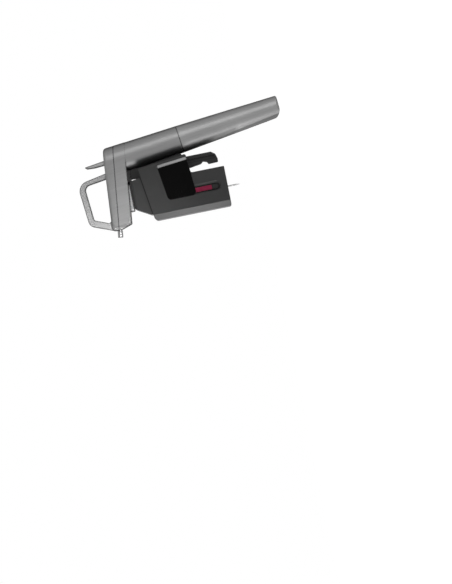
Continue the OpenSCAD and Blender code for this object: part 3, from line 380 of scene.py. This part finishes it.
def coil_spring():
    """A wire swept along a helix, with flat ends."""
    foot = COIL_LOW + WIRE_RADIUS
    rise = COIL_HIGH - COIL_LOW - 2 * WIRE_RADIUS
    count = COIL_TURNS * STEPS
    points, faces = [], []
    for i in range(count + 1):
        turn = 2 * math.pi * i / STEPS
        out = Vector((math.cos(turn), math.sin(turn), 0.0))
        place = Vector((*COIL_AXIS, foot + rise * i / count)) + out * COIL_RADIUS
        for k in range(SIDES):
            a = 2 * math.pi * k / SIDES
            points.append(place + (out * math.cos(a) + UPWARD * math.sin(a)) * WIRE_RADIUS)
    for i in range(count):
        here, after = i * SIDES, (i + 1) * SIDES
        for k in range(SIDES):
            n = (k + 1) % SIDES
            faces.append((here + k, after + k, after + n, here + n))
    faces.append(tuple(range(SIDES)))
    faces.append(tuple(reversed(range(count * SIDES, (count + 1) * SIDES))))
    mesh = bpy.data.meshes.new("valve_coil")
    mesh.from_pydata(points, [], faces)
    mesh.shade_smooth()
    mesh.materials.append(spring_metal.material)
    o = link(bpy.data.objects.new("valve_coil", mesh))
    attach(o, "head")
    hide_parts("valve_spring")
    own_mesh(o)


coil_spring()


# ---- stage ----

FLOOR_Z, FLOOR_HALF = -0.300, 9
FLOOR_GLOW, FLOOR_GREYS = 0.84, (238, 242)
# The white surround's strength as a light, and as it is seen
AMBIENT, WHITE = 0.2, 1.0
SNOOT_RADIUS = 0.06
# Area lamps, and where they all aim: name, place, width and height, watts
AREA_AIM = (-0.02, 0.0, 0.0)
AREA_LAMPS = (
    ("key", (-0.1, 1.1, -0.85), (0.7, 0.5), 10),
    ("rear_soft", (-0.98, 1.15, -0.2), (0.7, 1.2), 5),
    ("front_strip", (1.3, 0.75, -0.2), (0.3, 1.2), 5),
)
# Narrow lamps, on the base's front bevel and the head's nose: name, place, beam, watts, aim
SNOOTS = (
    ("bevel", (1.15, 0.04, 0.3), math.radians(5.6), 150, (0.02, 0.02, -0.002)),
    ("nose", (0.07, 0.95, -0.2), math.radians(9.5), 30, (0.062, 0.016, 0.088)),
)


def floor():
    """A floor that is white where it is seen, and lights little."""
    h = FLOOR_HALF
    corners = [(x, y, FLOOR_Z) for x, y in ((-h, -h), (h, -h), (h, h), (-h, h))]
    mesh = bpy.data.meshes.new("floor")
    mesh.from_pydata(corners, [], [(0, 1, 2, 3)])
    o = link(bpy.data.objects.new("floor", mesh))
    s = Shader("pale_floor", Specular_IOR_Level=0.1, Emission_Color=(1, 1, 1, 1))
    grain = s.noise(30, detail=3.0)
    s.set("Base Color", s.blend(grain, *map(grey, FLOOR_GREYS)))
    s.set("Roughness", s.span(grain, 0.8, 0.9))
    s.set("Emission Strength", s.math("MULTIPLY", s.seen(), FLOOR_GLOW))
    o.data.materials.append(s.material)


def world():
    """A surround that is white where it is seen, and lights little."""
    w = bpy.data.worlds.new("studio")
    bpy.context.scene.world = w
    w.use_nodes = True
    tree = NodeTree(w.node_tree)
    sky = w.node_tree.nodes["Background"].inputs
    tree.put(sky["Strength"], tree.span(tree.seen(), AMBIENT, WHITE, 0.0, 1.0))
    tree.put(sky["Color"], (1, 1, 1, 1))


def lamp(name, kind, place, aim, watts, **settings):
    """A lamp of any kind at a place, turned towards aim."""
    light = bpy.data.lights.new(name, kind)
    light.energy = watts
    for key, value in settings.items():
        setattr(light, key, value)
    o = link(bpy.data.objects.new(name, light))
    o.location = place
    o.rotation_euler = (Vector(aim) - Vector(place)).to_track_quat("-Z", "Y").to_euler()


floor()
world()
for name, place, (wide, high), watts in AREA_LAMPS:
    lamp(name, "AREA", place, AREA_AIM, watts, shape="RECTANGLE", size=wide, size_y=high)
for name, place, beam, watts, aim in SNOOTS:
    # The full blend makes the light fade all the way to the edge of the beam.
    soft = {"spot_size": beam, "spot_blend": 1.0, "shadow_soft_size": SNOOT_RADIUS}
    lamp(name, "SPOT", place, aim, watts, **soft)


# ---- camera ----

# The height that the picture shows at the object, the camera's distance, and the picture's middle
FRAME_HIGH = 0.6307
AWAY = 2.4
MIDDLE = Vector((0.1116, 0.0, -0.0171))
# In the photograph the bottle lies on its side, its neck to the left and down by this angle.
TILT = math.radians(11.4)
SENSOR = 36
FARTHEST = 40
right = Vector((math.sin(TILT), 0, -math.cos(TILT)))
up = Vector((-math.cos(TILT), 0, -math.sin(TILT)))
back = right.cross(up)
lens = bpy.data.cameras.new("photo")
lens.sensor_fit = "VERTICAL"
lens.sensor_height = SENSOR
lens.lens = SENSOR * AWAY / FRAME_HIGH
lens.clip_end = FARTHEST
camera = link(bpy.data.objects.new("photo", lens))
turn = Matrix((right, up, back)).transposed().to_4x4()
camera.matrix_world = Matrix.Translation(MIDDLE + back * AWAY) @ turn
bpy.context.scene.camera = camera
bpy.context.scene.view_settings.view_transform = "Standard"
